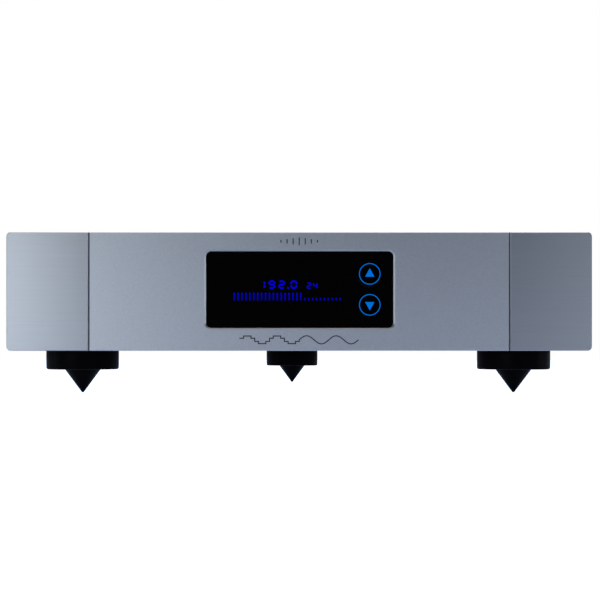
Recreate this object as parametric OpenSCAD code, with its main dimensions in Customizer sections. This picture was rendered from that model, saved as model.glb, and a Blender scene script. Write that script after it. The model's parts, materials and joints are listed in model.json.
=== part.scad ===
// Full-width desktop digital-to-analogue converter on three spiked feet.
// Millimetres, +Z up. The front plates face -Y and the connectors +Y.
// The origin lies on the supporting surface, below the centre of the whole unit.

/* [Case] */
// Width across the front plates
front_w = 425; // [415:1:440]
// Height of the front plates
front_h = 86; // [85:0.5:90]
// Depth from the front face to the tips of the phono sockets
overall_d = 415; // [410:1:430]
// Thickness of the three front plates
plate_t = 10; // [9:0.5:12]
// Width between the two grooves in the front
centre_w = 305; // [295:1:310]
// Width of each groove
groove_w = 0.5; // [0.3:0.1:1]
// Corner radius at the outer ends of the front
corner_r = 3; // [2:0.5:5]
// Thickness of the folded sheet
sheet_t = 2; // [1.5:0.5:2]
// Height of the case's underside above the lower edge of the front plates
case_lift = 2.4; // [2:0.2:3]

/* [Feet] */
// Diameter of each foot disc
disc_d = 54.5; // [50:0.5:60]
// Thickness of each foot disc
disc_t = 16.4; // [15:0.2:18]
// Height of each spike below its disc
spike_h = 17.5; // [15:0.5:20]
// Diameter of each spike where it meets its disc
spike_d = 26.2; // [24:0.2:28]
// Distance between the two front feet
feet_span = 329; // [310:1:335]
// Distance from the front feet to the rear foot
feet_depth = 300; // [280:1:310]

/* [Window and keys] */
// Width of the display window
window_w = 136.2; // [130:0.2:140]
// Height of the display window
window_h = 55.8; // [52:0.2:58]
// Corner radius of the display window
window_r = 4; // [3:0.5:6]
// Height of the window's centre above the middle of the front
window_rise = 1.4; // [0:0.2:2]
// Distance of the window's centre from the centre line
window_x = 0.4; // [0:0.1:1]
// Chamfer around the window
window_c = 1.1; // [0.5:0.1:1.5]
// Distance of the keys from the centre line
key_x = 51.3; // [49:0.1:52]
// Height of the keys' middle above the window's middle
keys_rise = 0.2; // [-1:0.2:1]
// Distance between the two keys
key_pitch = 22.5; // [21:0.5:24]
// Diameter of each key
key_d = 17; // [16.5:0.1:17.5]

/* [Hidden] */
$fn = 64;
eps = 0.2;          // overshoot of a cutting tool past a face
slip = 0.05;        // radial room between a screw and its hole
room = 0.2;         // radial room of a clearance hole

// Small screws: radius of the shank, of a countersunk head and of a pan head, and height of the pan head
screw_r = 1.5;
flat_head_r = 2.9;
pan_head_r = 2.8;
pan_head_h = 2;
large_head_r = 3.5;                     // pan head of the larger screws in the front plates and feet
large_head_h = 2.4;

// Levels and planes
under_z = disc_t + spike_h;             // underside of the case
plate_z = under_z - case_lift;          // lower edge of the front plates
top_z = plate_z + front_h;              // top edge of the front plates
mid_z = plate_z + front_h / 2;
front_y = -overall_d / 2;
plate_back_y = front_y + plate_t;
jack_proud = 10.5;                      // how far a phono socket stands out of the rear panel
rear_y = overall_d / 2 - jack_proud;    // outer face of the rear panel
rear_t = 2.5;
sub_back_y = plate_back_y + sheet_t;
floor_z = under_z + sheet_t;            // inner face of the tray

// Case sheets
cover_inset = 2;                        // cover sides lie inside the front plates' ends
cover_x = front_w / 2 - cover_inset;    // outer face of the cover's sides
cover_top_z = top_z - 1.5;
cover_y = plate_back_y + 0.3;
skirt_z = under_z + 0.5;                // lower edge of the cover, sub-panel and rear panel
bend_r = 3;
sheet_gap = 0.3;                        // room between the cover and what it covers
tray_x = cover_x - sheet_t - sheet_gap;
tray_lip_h = 13.5;
tray_back_y = rear_y - rear_t;
inner_top_z = cover_top_z - sheet_t - sheet_gap;

// Front details
edge_c = 0.5;                           // chamfer along the front edges
groove_c = 0.8;                         // chamfer of the cheeks beside each groove
window_z = mid_z + window_rise;
window_recess = 1.2;                    // window's face behind the front face
window_room = 0.15;
window_t = 3;
window_lip = 3;                         // flange around the back of the window
window_lip_t = 1.5;
flange = [window_w + 2 * window_lip, window_h + 2 * window_lip];
flange_room = 0.3;
window_back_y = front_y + window_recess + window_t + window_lip_t;
key_room = 0.3;
key_travel = 0.6;
key_z = [for (s = [1, -1]) window_z + keys_rise + s * key_pitch / 2];
engraving_depth = 0.4;
engraving_w = 0.8;

// Rear connector positions, along X and at one height
socket_z = plate_z + 43;
mains_x = -158;
usb_x = -100;
optical_x = -74;
coax_x = -46;
xlr_input_x = -8;
xlr_left_x = 58;
phono_left_x = 95;
phono_right_x = 125;
xlr_right_x = 162;

// Colours
silver = [0.66, 0.69, 0.74];
satin = [0.60, 0.64, 0.70];
graphite = [0.10, 0.105, 0.115];
black = [0.03, 0.03, 0.035];
steel = [0.70, 0.71, 0.73];
gold = [0.85, 0.66, 0.30];
blue_light = [0.0, 0.36, 0.95];
board_green = [0.05, 0.22, 0.12];

// ---------------------------------------------------------------- helpers

// Sweeps an (x, z) outline along +Y, from y0 over a depth of t.
module wall(y0, t) {
    translate([0, y0 + t, 0]) rotate([90, 0, 0]) linear_extrude(t) children();
}

// Sweeps a (y, z) outline along +X, from x0 over a width of w.
module across(x0, w) {
    translate([x0, 0, 0]) rotate([90, 0, 90]) linear_extrude(w) children();
}

// Sweeps an (x, y) outline along +Z, from z0 over a height of h.
module upright(z0, h) {
    translate([0, 0, z0]) linear_extrude(h) children();
}

// A child drawn along +Z, turned to run along +Y from the point (x, y, z).
module facing_back(x, y, z) {
    translate([x, y, z]) rotate([-90, 0, 0]) children();
}

// A rectangle with rounded corners, centred.
module rounded(w, h, r) {
    square([w - 2 * r, h], center = true);
    square([w, h - 2 * r], center = true);
    for (x = [-1, 1], y = [-1, 1]) translate([x * (w / 2 - r), y * (h / 2 - r)]) circle(r);
}

// A slot with round ends, long along Y, centred.
module slot(w, l) {
    square([w, l - w], center = true);
    for (y = [-1, 1]) translate([0, y * (l - w) / 2]) circle(w / 2);
}

// A block given by its lowest and highest corner.
module block(low, high) {
    translate(low) cube(high - low);
}

// A tube or washer along +Z.
module ring(r_out, r_in, h) {
    difference() {
        cylinder(r = r_out, h = h);
        translate([0, 0, -eps]) cylinder(r = r_in, h = h + 2 * eps);
    }
}

// A pan-head screw whose head sits on z = 0 and whose shank runs down -Z.
module pan_screw(r, l, head_r, head_h) {
    difference() {
        union() {
            cylinder(r = head_r, h = head_h);
            translate([0, 0, -l]) cylinder(r = r, h = l + 0.01);
        }
        translate([0, 0, head_h * 0.4]) cylinder(r = r * 0.62, h = head_h, $fn = 6);
    }
}

// A countersunk screw whose flat head ends at z = 0 and whose shank runs down -Z.
module flat_screw(r, l, head_r) {
    difference() {
        union() {
            translate([0, 0, r - head_r]) cylinder(r1 = r, r2 = head_r, h = head_r - r);
            translate([0, 0, -l]) cylinder(r = r, h = l - (head_r - r) + 0.01);
        }
        translate([0, 0, -r * 0.7]) cylinder(r = r * 0.6, h = r, $fn = 6);
    }
}

// The hole that a countersunk screw sits in, with room all round.
module flat_screw_hole(r, l, head_r) {
    translate([0, 0, r - head_r]) cylinder(r1 = r + slip, r2 = head_r + slip, h = head_r - r);
    translate([0, 0, -0.01]) cylinder(r = head_r + slip, h = eps);
    translate([0, 0, -l]) cylinder(r = r + slip, h = l);
}

// ---------------------------------------------------------------- front plates

fascia_holes = [for (x = [-138, -92, 92, 138], z = [plate_z + 22, top_z - 12]) [x, z]];
cheek_holes = [for (x = [-200, -165], z = [plate_z + 30, top_z - 20]) [x, z]];
plate_screw_places = concat(fascia_holes, cheek_holes, [for (p = cheek_holes) [-p[0], p[1]]]);
fascia_screw_r = 2;
fascia_thread = 6;                      // depth of each blind hole in a front plate

// Blind screw holes in the back of a front plate.
module plate_holes(places) {
    for (p = places)
        facing_back(p[0], plate_back_y - fascia_thread, p[1])
            cylinder(r = fascia_screw_r + slip, h = fascia_thread + eps);
}

// Outline in (y, z) of a front plate, with its two front edges chamfered.
module plate_section() {
    polygon([[front_y + edge_c, plate_z], [plate_back_y, plate_z], [plate_back_y, top_z],
             [front_y + edge_c, top_z], [front_y, top_z - edge_c], [front_y, plate_z + edge_c]]);
}

// The space of a window with a chamfered mouth, cut from the front face to the depth of the chamfer.
module window_funnel(w, h, r, c) {
    y0 = front_y - eps;
    y1 = front_y + c;
    g = c + eps;
    across(-w / 2 + r, w - 2 * r)
        polygon([[y0, window_z - h / 2 - g], [y0, window_z + h / 2 + g],
                 [y1, window_z + h / 2], [y1, window_z - h / 2]]);
    upright(window_z - h / 2 + r, h - 2 * r)
        polygon([[-w / 2 - g, y0], [w / 2 + g, y0], [w / 2, y1], [-w / 2, y1]]);
    for (x = [-1, 1], z = [-1, 1])
        facing_back(x * (w / 2 - r), y0, window_z + z * (h / 2 - r))
            cylinder(r1 = r + g, r2 = r, h = g);
}

// A sampled wave that turns into a smooth one: half in steps, half as a curve.
wave_period = 21.5;
wave_height = 3;
wave_steps = 8;                         // steps in each period
wave_turns = 2;                         // periods in each half
function wave(x) = wave_height * sin(360 * x / wave_period);
function wave_slope(x) = wave_height * 2 * PI / wave_period * cos(360 * x / wave_period);
function wave_edge(x, side) =
    let (s = wave_slope(x), n = sqrt(1 + s * s), d = side * engraving_w / 2)
    [x - s * d / n, wave(x) + d / n];

module smooth_wave() {
    xs = [for (i = [0:12 * wave_turns]) i * wave_period / 12];
    last = len(xs) - 1;
    polygon(concat([for (x = xs) wave_edge(x, 1)],
                   [for (i = [0:last]) wave_edge(xs[last - i], -1)]));
}

module stepped_wave() {
    dx = wave_period / wave_steps;
    n = wave_steps * wave_turns;
    for (i = [1:n]) {
        y = wave((0.5 - i) * dx);
        y_next = i == 1 ? 0 : wave((1.5 - i) * dx);
        translate([-i * dx - engraving_w / 2, y - engraving_w / 2]) square([dx + engraving_w, engraving_w]);
        translate([(1 - i) * dx - engraving_w / 2, min(y, y_next) - engraving_w / 2])
            square([engraving_w, abs(y - y_next) + engraving_w]);
    }
}

// A row of ticks whose height swells to the middle.
module tick_marks() {
    pitch = 4.4;
    for (i = [-3:3]) {
        h = 5.6 - 1.2 * abs(i);
        translate([i * pitch, 0]) square([engraving_w, h], center = true);
    }
}

module engraving() {
    translate([0, plate_z + 7.9]) {
        smooth_wave();
        stepped_wave();
    }
    translate([0, top_z - 6.6]) tick_marks();
}

module centre_fascia() {
    w = centre_w - groove_w;
    side_c = 0.3;
    color(satin) difference() {
        intersection() {
            across(-w / 2, w) plate_section();
            upright(plate_z - 1, front_h + 2)
                polygon([[-w / 2, front_y + side_c], [-w / 2 + side_c, front_y],
                         [w / 2 - side_c, front_y], [w / 2, front_y + side_c],
                         [w / 2, plate_back_y + 1], [-w / 2, plate_back_y + 1]]);
        }
        wall(front_y - eps, plate_t + 2 * eps)
            translate([window_x, window_z]) rounded(window_w, window_h, window_r);
        translate([window_x, 0, 0]) window_funnel(window_w, window_h, window_r, window_c);
        // rebate that takes the window's flange and the display
        wall(front_y + window_recess + window_t, plate_t) translate([window_x, window_z])
            rounded(flange[0] + 2 * flange_room, flange[1] + 2 * flange_room, window_r + window_lip);
        wall(front_y - eps, eps + engraving_depth) engraving();
        plate_holes(fascia_holes);
    }
}

// The left cheek; its outer edge is the front's left end.
module cheek() {
    outer_x = -front_w / 2;
    inner_x = -centre_w / 2 - groove_w / 2;
    r = corner_r;
    difference() {
        union() {
            across(outer_x + r, inner_x - outer_x - r) plate_section();
            upright(plate_z + r, front_h - 2 * r)
                polygon([[outer_x, front_y + edge_c], [outer_x + edge_c, front_y],
                         [outer_x + r + 1, front_y], [outer_x + r + 1, plate_back_y],
                         [outer_x, plate_back_y]]);
            for (z = [plate_z + r, top_z - r])
                facing_back(outer_x + r, front_y, z) {
                    cylinder(r1 = r - edge_c, r2 = r, h = edge_c);
                    translate([0, 0, edge_c]) cylinder(r = r, h = plate_t - edge_c);
                }
        }
        upright(plate_z - 1, front_h + 2)
            polygon([[inner_x - groove_c - eps, front_y - eps], [inner_x + eps, front_y - eps],
                     [inner_x + eps, front_y + groove_c + eps]]);
        plate_holes(cheek_holes);
    }
}

module left_cheek() {
    color(silver) cheek();
}

module right_cheek() {
    color(silver) mirror([1, 0, 0]) cheek();
}

// Sheet behind the front plates. It carries them, the display and its board.
display_hole = [146, 64];
spacer_places = [for (x = [-79, 79], z = [-24, 24]) [x, window_z + z]];
tray_screw_x = [-190, -70, 70, 190];

module front_subpanel() {
    color(graphite) difference() {
        block([-tray_x, plate_back_y, skirt_z], [tray_x, sub_back_y, inner_top_z]);
        wall(plate_back_y - eps, sheet_t + 2 * eps)
            translate([0, window_z]) rounded(display_hole[0], display_hole[1], 3);
        for (p = plate_screw_places)
            facing_back(p[0], plate_back_y - eps, p[1])
                cylinder(r = fascia_screw_r + room, h = sheet_t + 2 * eps);
        for (p = spacer_places)
            facing_back(p[0], plate_back_y - eps, p[1])
                cylinder(r = screw_r + slip, h = sheet_t + 2 * eps);
        for (x = tray_screw_x)
            facing_back(x, plate_back_y - eps, tray_screw_z)
                cylinder(r = screw_r + room, h = sheet_t + 2 * eps);
    }
}

// ---------------------------------------------------------------- window, display and keys

module display_window() {
    y0 = front_y + window_recess;
    color(black) difference() {
        union() {
            wall(y0, window_t + window_lip_t) translate([window_x, window_z])
                rounded(window_w - 2 * window_room, window_h - 2 * window_room, window_r - window_room);
            wall(y0 + window_t, window_lip_t) translate([window_x, window_z])
                rounded(flange[0], flange[1], window_r + window_lip - flange_room);
        }
        for (z = key_z)
            facing_back(key_x, y0 - eps, z)
                cylinder(r = key_d / 2 + key_room, h = window_t + window_lip_t + 2 * eps);
    }
}

display_x = [-64, 37];                  // left and right side of the display module
display_h = 50;
glass_y = window_back_y + 0.4;          // face of the display's glass
board_y = plate_back_y + 5;             // front of the display board
board_t = 1.6;
board_hole_r = 1.6;

module display_module() {
    z0 = window_z - display_h / 2;
    z1 = window_z + display_h / 2;
    rim = 3;
    color(graphite) difference() {
        block([display_x[0], window_back_y + 0.05, z0], [display_x[1], board_y, z1]);
        // the glass lies inside a shallow rim
        block([display_x[0] + rim, window_back_y - eps, z0 + rim], [display_x[1] - rim, glass_y, z1 - rim]);
    }
}

// Lit segments a to g of the digits 0 to 9.
seven_segments = [[1, 1, 1, 1, 1, 1, 0], [0, 1, 1, 0, 0, 0, 0], [1, 1, 0, 1, 1, 0, 1], [1, 1, 1, 1, 0, 0, 1],
                  [0, 1, 1, 0, 0, 1, 1], [1, 0, 1, 1, 0, 1, 1], [1, 0, 1, 1, 1, 1, 1], [1, 1, 1, 0, 0, 0, 0],
                  [1, 1, 1, 1, 1, 1, 1], [1, 1, 1, 1, 0, 1, 1]];

module segment(l, t) {
    polygon([[0.15, 0], [t / 2 + 0.1, t / 2], [l - t / 2 - 0.1, t / 2],
             [l - 0.15, 0], [l - t / 2 - 0.1, -t / 2], [t / 2 + 0.1, -t / 2]]);
}

// A seven-segment digit, its lower left corner at the origin.
module digit(n, size) {
    lit = seven_segments[n];
    t = size[2];
    a = size[0] - t;
    b = (size[1] - t) / 2;
    starts = [[0, 2 * b, 0], [a, b, 90], [a, 0, 90], [0, 0, 0], [0, 0, 90], [0, b, 90], [0, b, 0]];
    translate([t / 2, t / 2])
        for (i = [0:6])
            if (lit[i])
                translate([starts[i][0], starts[i][1]]) rotate(starts[i][2])
                    segment(starts[i][2] == 0 ? a : b, t);
}

rate_digits = [1, 9, 2, 0];
rate_places = [-29.5, -22.3, -15.1, -6.2];
rate_size = [4.8, 6, 1.15];             // width, height and stroke of a digit
point_x = -8.6;
point_w = 1.2;
depth_digits = [2, 4];
depth_x = 5.6;
depth_pitch = 4.6;
depth_size = [3.4, 4.5, 0.8];
upper_row_z = window_z + 1;
lower_row_z = window_z - 7.5;
bar_count = 28;
bars_high = 18;                         // bars at full height; the others are short
first_bar_x = -47.9;
bar_pitch = 2.87;
bar_w = 0.9;
bar_h = [5.4, 1.8];

// The lit picture: digits above a row of level bars.
module display_readout() {
    color(blue_light) wall(glass_y - 0.3, 0.3) {
        for (i = [0:3])
            translate([rate_places[i], upper_row_z]) digit(rate_digits[i], rate_size);
        translate([point_x, upper_row_z]) square([point_w, point_w]);
        for (i = [0:1])
            translate([depth_x + depth_pitch * i, upper_row_z]) digit(depth_digits[i], depth_size);
        for (i = [0:bar_count - 1])
            translate([first_bar_x + bar_pitch * i, lower_row_z])
                square([bar_w, i < bars_high ? bar_h[0] : bar_h[1]]);
    }
}

switch_face_y = plate_back_y + 0.3;     // tip of a key switch's plunger

// Board with the two key switches soldered to its face and a ribbon socket on its back.
module display_board() {
    color(board_green) {
        difference() {
            block([-86, board_y, window_z - 31], [86, board_y + board_t, window_z + 31]);
            for (p = spacer_places)
                facing_back(p[0], board_y - eps, p[1])
                    cylinder(r = board_hole_r, h = board_t + 2 * eps);
        }
        for (z = key_z) {
            block([key_x - 3, board_y - 3.2, z - 3], [key_x + 3, board_y, z + 3]);
            facing_back(key_x, switch_face_y, z) cylinder(r = 1.75, h = board_y - switch_face_y - 3);
        }
        block([ribbon_x0 - 3, board_y + board_t, ribbon_z - 3],
              [ribbon_x0 + ribbon_w + 3, board_y + board_t + 6, ribbon_z + 3]);
    }
}

icon_t = 1;                             // depth of the light guides in a key
icon_ring_r = 7.8;
icon_ring_w = 0.6;
arrow_w = 6.7;
arrow_h = 6.1;

// Triangle about its centroid, pointing up for dir 1 and down for dir -1.
module arrow(dir) {
    base = -dir * arrow_h / 3;
    polygon([[-arrow_w / 2, base], [arrow_w / 2, base], [0, -2 * base]]);
}

// The two light guides of a key: a ring and an arrow.
module key_icon(z, dir) {
    y0 = front_y + window_recess;
    color(blue_light) {
        facing_back(key_x, y0, z) ring(icon_ring_r, icon_ring_r - icon_ring_w, icon_t);
        wall(y0, icon_t) translate([key_x, z]) arrow(dir);
    }
}

// Round key with a retaining flange behind the window and a stem to its switch.
module key_cap(z, dir) {
    y0 = front_y + window_recess;
    length = window_back_y + 0.02 - y0;
    flange_t = 1;
    stem_end = switch_face_y - key_travel - 0.05;
    color(black) difference() {
        facing_back(key_x, y0, z) {
            cylinder(r = key_d / 2, h = length);
            translate([0, 0, length]) cylinder(r = key_d / 2 + 1, h = flange_t);
            translate([0, 0, length]) cylinder(r = 2.5, h = stem_end - y0 - length);
        }
        facing_back(key_x, y0 - eps, z) ring(icon_ring_r, icon_ring_r - icon_ring_w, icon_t + eps);
        wall(y0 - eps, icon_t + eps) translate([key_x, z]) arrow(dir);
    }
}

module up_key_cap() { key_cap(key_z[0], 1); }
module up_key_icon() { key_icon(key_z[0], 1); }
module down_key_cap() { key_cap(key_z[1], -1); }
module down_key_icon() { key_icon(key_z[1], -1); }

// ---------------------------------------------------------------- case

foot_places = [[-feet_span / 2, front_y + 38], [feet_span / 2, front_y + 38], [0, front_y + 38 + feet_depth]];
foot_screw_ring_r = 19;
foot_screw_r = 2;
tray_screw_z = under_z + 7.5;
side_screw_y = [-175, -60, 60, 175];
side_screw_z = under_z + 9;
top_screw_x = [-190, 0, 190];
top_screw_y = rear_y - 7;
digital_place = [-142, -108];
analogue_place = [-142, -8];
bolt_r = 3;
bolt_head_r = 5;

// The three holes of each foot, on a circle, as angles.
foot_angles = [30, 150, 270];

module base_tray() {
    color(graphite) difference() {
        block([-tray_x, sub_back_y, under_z], [tray_x, tray_back_y, under_z + tray_lip_h]);
        block([-tray_x + sheet_t, sub_back_y + sheet_t, floor_z],
              [tray_x - sheet_t, tray_back_y - sheet_t, under_z + tray_lip_h + eps]);
        for (p = foot_places, a = foot_angles)
            translate([p[0], p[1], under_z - eps]) rotate(a) translate([foot_screw_ring_r, 0])
                cylinder(r = foot_screw_r + room, h = sheet_t + 2 * eps);
        for (p = [digital_place, analogue_place])
            translate([p[0], p[1], under_z]) mirror([0, 0, 1])
                flat_screw_hole(bolt_r, sheet_t + 1, bolt_head_r);
        for (x = tray_screw_x, y = [sub_back_y, tray_back_y - sheet_t])
            facing_back(x, y - eps, tray_screw_z) cylinder(r = screw_r + slip, h = sheet_t + 2 * eps);
        for (x = [-tray_x - eps, tray_x - sheet_t - eps], y = side_screw_y)
            translate([x, y, side_screw_z]) rotate([0, 90, 0])
                cylinder(r = screw_r + slip, h = sheet_t + 2 * eps);
        // cooling slots under the power board
        for (x = [-70:10:30], y = [-130, -70])
            translate([x, y, 0]) upright(under_z - eps, sheet_t + 2 * eps) slot(3, 30);
    }
}

vent_w = 3.2;
vent_l = 46;
vent_pitch = 9;
vent_banks = [for (x = [-142, 142], y = [-108, -8]) [x, y]];    // centres of the banks of slots
vent_count = 11;

module top_cover() {
    depth = rear_y - cover_y;
    color(graphite) difference() {
        wall(cover_y, depth) difference() {
            union() {
                translate([-cover_x, skirt_z]) square([2 * cover_x, cover_top_z - bend_r - skirt_z]);
                translate([-cover_x + bend_r, skirt_z])
                    square([2 * (cover_x - bend_r), cover_top_z - skirt_z]);
                for (x = [-1, 1]) translate([x * (cover_x - bend_r), cover_top_z - bend_r]) circle(bend_r);
            }
            union() {
                inner_r = bend_r - sheet_t;
                inner_x = cover_x - sheet_t;
                inner_z = cover_top_z - sheet_t;
                translate([-inner_x, under_z - 1]) square([2 * inner_x, inner_z - inner_r - under_z + 1]);
                translate([-inner_x + inner_r, under_z - 1])
                    square([2 * (inner_x - inner_r), inner_z - under_z + 1]);
                for (x = [-1, 1]) translate([x * (inner_x - inner_r), inner_z - inner_r]) circle(inner_r);
            }
        }
        for (bank = vent_banks, i = [0:vent_count - 1])
            translate([bank[0] + (i - (vent_count - 1) / 2) * vent_pitch, bank[1], 0])
                upright(cover_top_z - sheet_t - eps, sheet_t + 2 * eps) slot(vent_w, vent_l);
        for (s = [-1, 1], y = side_screw_y)
            translate([s * cover_x, y, side_screw_z]) rotate([0, s * 90, 0])
                flat_screw_hole(screw_r, sheet_t + 1, flat_head_r);
        for (x = top_screw_x)
            translate([x, top_screw_y, cover_top_z]) flat_screw_hole(screw_r, sheet_t + 1, flat_head_r);
    }
}

module cover_screws() {
    color(steel) {
        for (s = [-1, 1], y = side_screw_y)
            translate([s * cover_x, y, side_screw_z]) rotate([0, s * 90, 0])
                flat_screw(screw_r, 7, flat_head_r);
        for (x = top_screw_x)
            translate([x, top_screw_y, cover_top_z]) flat_screw(screw_r, 6, flat_head_r);
    }
}

phono_hole_r = 5.2;
xlr_hole_r = 12.2;
xlr_flange = [26, 31];
xlr_screw = [9.5, 12];                  // from the middle of the flange to its two screws
cutout_room = [0.4, 0.4];
mains_body = [27.4, 49];
mains_flange = [50, 53];
mains_screw_x = 20.5;
usb_body = [12, 11];
usb_z = socket_z - 0.5;
optical_body = [14, 12];

// The rear panel, folded forward along its top edge so that the cover can be screwed to it.
module rear_panel() {
    flange_d = 14;
    color(graphite) difference() {
        union() {
            block([-tray_x, rear_y - rear_t, skirt_z], [tray_x, rear_y, inner_top_z]);
            block([-tray_x, rear_y - flange_d, inner_top_z - sheet_t],
                  [tray_x, rear_y - rear_t + 0.5, inner_top_z]);
        }
        wall(rear_y - rear_t - eps, rear_t + 2 * eps) {
            translate([mains_x, socket_z]) square(mains_body + cutout_room, center = true);
            translate([usb_x, usb_z]) square(usb_body + cutout_room, center = true);
            translate([optical_x, socket_z]) square(optical_body + cutout_room, center = true);
            for (x = [coax_x, phono_left_x, phono_right_x]) translate([x, socket_z]) circle(phono_hole_r);
            for (x = xlr_places) translate([x, socket_z]) circle(xlr_hole_r);
            translate([xlr_input_x, latch_z]) square(latch + [0.6, 0.6], center = true);
        }
        for (p = connector_screw_places)
            facing_back(p[0], rear_y - rear_t - eps, p[1])
                cylinder(r = screw_r + slip, h = rear_t + 2 * eps);
        for (x = tray_screw_x)
            facing_back(x, rear_y - rear_t - eps, tray_screw_z)
                cylinder(r = screw_r + room, h = rear_t + 2 * eps);
        for (x = top_screw_x)
            translate([x, top_screw_y, inner_top_z - sheet_t - eps])
                cylinder(r = screw_r + slip, h = sheet_t + 2 * eps);
    }
}

// Screws that join the sheets: front plates to sub-panel, and both ends to the tray.
module chassis_screws() {
    color(steel) {
        for (p = plate_screw_places)
            facing_back(p[0], sub_back_y, p[1])
                pan_screw(fascia_screw_r, sheet_t + 5, large_head_r, large_head_h);
        for (x = tray_screw_x) {
            facing_back(x, sub_back_y + sheet_t, tray_screw_z)
                pan_screw(screw_r, sheet_t + 1.8, pan_head_r, pan_head_h);
            facing_back(x, rear_y, tray_screw_z)
                pan_screw(screw_r, rear_t + 4, pan_head_r, pan_head_h);
        }
    }
}

// ---------------------------------------------------------------- feet

foot_thread = 9;                        // depth of the screw holes in a disc
insert_r = 5.5;
stud_r = 4;
stud_h = 11.5;
tip_r = 0.65;

// Foot disc with a rounded lower rim, a seat for its insert and three blind screw holes.
module foot_disc(i) {
    p = foot_places[i];
    r = disc_d / 2;
    f = 1.2;
    top_c = 0.4;
    color(black) translate([p[0], p[1], spike_h]) difference() {
        rotate_extrude() {
            square([r - f, disc_t]);
            translate([0, f]) square([r, disc_t - f - top_c]);
            translate([r - f, f]) circle(f);
            polygon([[0, disc_t - 1], [r, disc_t - 1], [r, disc_t - top_c],
                     [r - top_c, disc_t], [0, disc_t]]);
        }
        translate([0, 0, -eps]) cylinder(r = insert_r, h = disc_t + 2 * eps);
        for (a = foot_angles)
            rotate(a) translate([foot_screw_ring_r, 0, disc_t - foot_thread])
                cylinder(r = foot_screw_r + slip, h = foot_thread + eps);
    }
}

module foot_disc_front_left() { foot_disc(0); }
module foot_disc_front_right() { foot_disc(1); }
module foot_disc_rear() { foot_disc(2); }

module foot_inserts() {
    color(gold)
        for (p = foot_places)
            translate([p[0], p[1], spike_h]) ring(insert_r, stud_r + slip, disc_t);
}

// Turned spike: a cone with a small flat tip and a stud that screws into the insert.
module spike(i) {
    p = foot_places[i];
    r = spike_d / 2;
    rim = 0.5;                          // short cylindrical rim under the disc
    color(black) translate([p[0], p[1], 0]) rotate_extrude()
        polygon([[0, 0], [tip_r, 0], [r, spike_h - rim], [r, spike_h],
                 [stud_r, spike_h], [stud_r, spike_h + stud_h - 1],
                 [stud_r - 1, spike_h + stud_h], [0, spike_h + stud_h]]);
}

module spike_front_left() { spike(0); }
module spike_front_right() { spike(1); }
module spike_rear() { spike(2); }

module foot_screws() {
    color(steel)
        for (p = foot_places, a = foot_angles)
            translate([p[0], p[1], floor_z]) rotate(a) translate([foot_screw_ring_r, 0])
                pan_screw(foot_screw_r, sheet_t + 8, large_head_r, large_head_h);
}

// ---------------------------------------------------------------- mains inlet, switch and fuse

mains_flange_t = 3;
mains_face_y = rear_y + mains_flange_t;
mains_depth = 30;                       // how far the body reaches behind the panel
inlet_recess = [24.4, 16.6, 16];
inlet_z = socket_z - 0.5;
rocker_z = socket_z + 16.4;
rocker_pocket = [20, 12.4];
rocker_r = 9.7;
rocker_h = 11.8;
rocker_y = mains_face_y - 2;            // the rocker's axis
rocker_tilt = 10;
rocker_pin_r = 1.5;
drawer_z = socket_z - 15.8;
drawer_pocket = [20.4, 9.4, 24];
drawer_room = 0.2;
fuse_r = 2.5;
fuse_l = 20;
blade_places = [[-7, -2], [7, -2], [0, 2]];
blade = [2, 4];
blade_back = 8;                         // solder tabs behind the body

// Mouth of the recess for the mains plug: a rectangle with its two upper corners cut off.
module inlet_outline() {
    w = inlet_recess[0] / 2;
    h = inlet_recess[1] / 2;
    c = 5;
    polygon([[c - w, h], [w - c, h], [w, h - c], [w, -h], [-w, -h], [-w, h - c]]);
}

module mains_inlet() {
    color(black) difference() {
        union() {
            wall(rear_y, mains_flange_t) translate([mains_x, socket_z])
                rounded(mains_flange[0], mains_flange[1], 4);
            wall(rear_y - mains_depth, mains_depth + 0.5)
                translate([mains_x, socket_z]) square(mains_body, center = true);
        }
        wall(mains_face_y - inlet_recess[2], inlet_recess[2] + eps)
            translate([mains_x, inlet_z]) inlet_outline();
        for (p = blade_places)
            wall(rear_y - mains_depth - eps, mains_depth)
                translate([mains_x + p[0], inlet_z + p[1]]) square(blade + [0.1, 0.1], center = true);
        // pocket and bearing holes of the rocker
        wall(rocker_y - rocker_r - 1, rocker_r + 4)
            translate([mains_x, rocker_z]) square(rocker_pocket, center = true);
        translate([mains_x, rocker_y, rocker_z - rocker_h / 2 - 1.6])
            cylinder(r = rocker_pin_r + slip, h = rocker_h + 3.2);
        // pocket of the fuse drawer
        wall(mains_face_y - drawer_pocket[2], drawer_pocket[2] + eps)
            translate([mains_x, drawer_z]) square([drawer_pocket[0], drawer_pocket[1]], center = true);
        for (s = [-1, 1])
            facing_back(mains_x + s * mains_screw_x, mains_face_y, socket_z)
                flat_screw_hole(screw_r, mains_flange_t + 1, flat_head_r);
    }
}

module inlet_blades() {
    color(steel)
        for (p = blade_places)
            wall(rear_y - mains_depth - blade_back, mains_depth + blade_back + mains_flange_t - 2)
                translate([mains_x + p[0], inlet_z + p[1]]) square(blade, center = true);
}

// Rocker at its ON side. It turns about the vertical pins at its middle.
module power_rocker() {
    top = 3;
    r = rocker_r;
    rise = r * tan(rocker_tilt);
    color(black) translate([mains_x, rocker_y, rocker_z]) rotate(rocker_tilt) {
        upright(-rocker_h / 2, rocker_h) intersection() {
            circle(r);
            polygon([[-r, -6], [r, -6], [r, top + rise], [0, top], [-r, top + rise]]);
        }
        translate([0, 0, -rocker_h / 2 - 1.2]) cylinder(r = rocker_pin_r, h = rocker_h + 2.4);
    }
}

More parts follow.
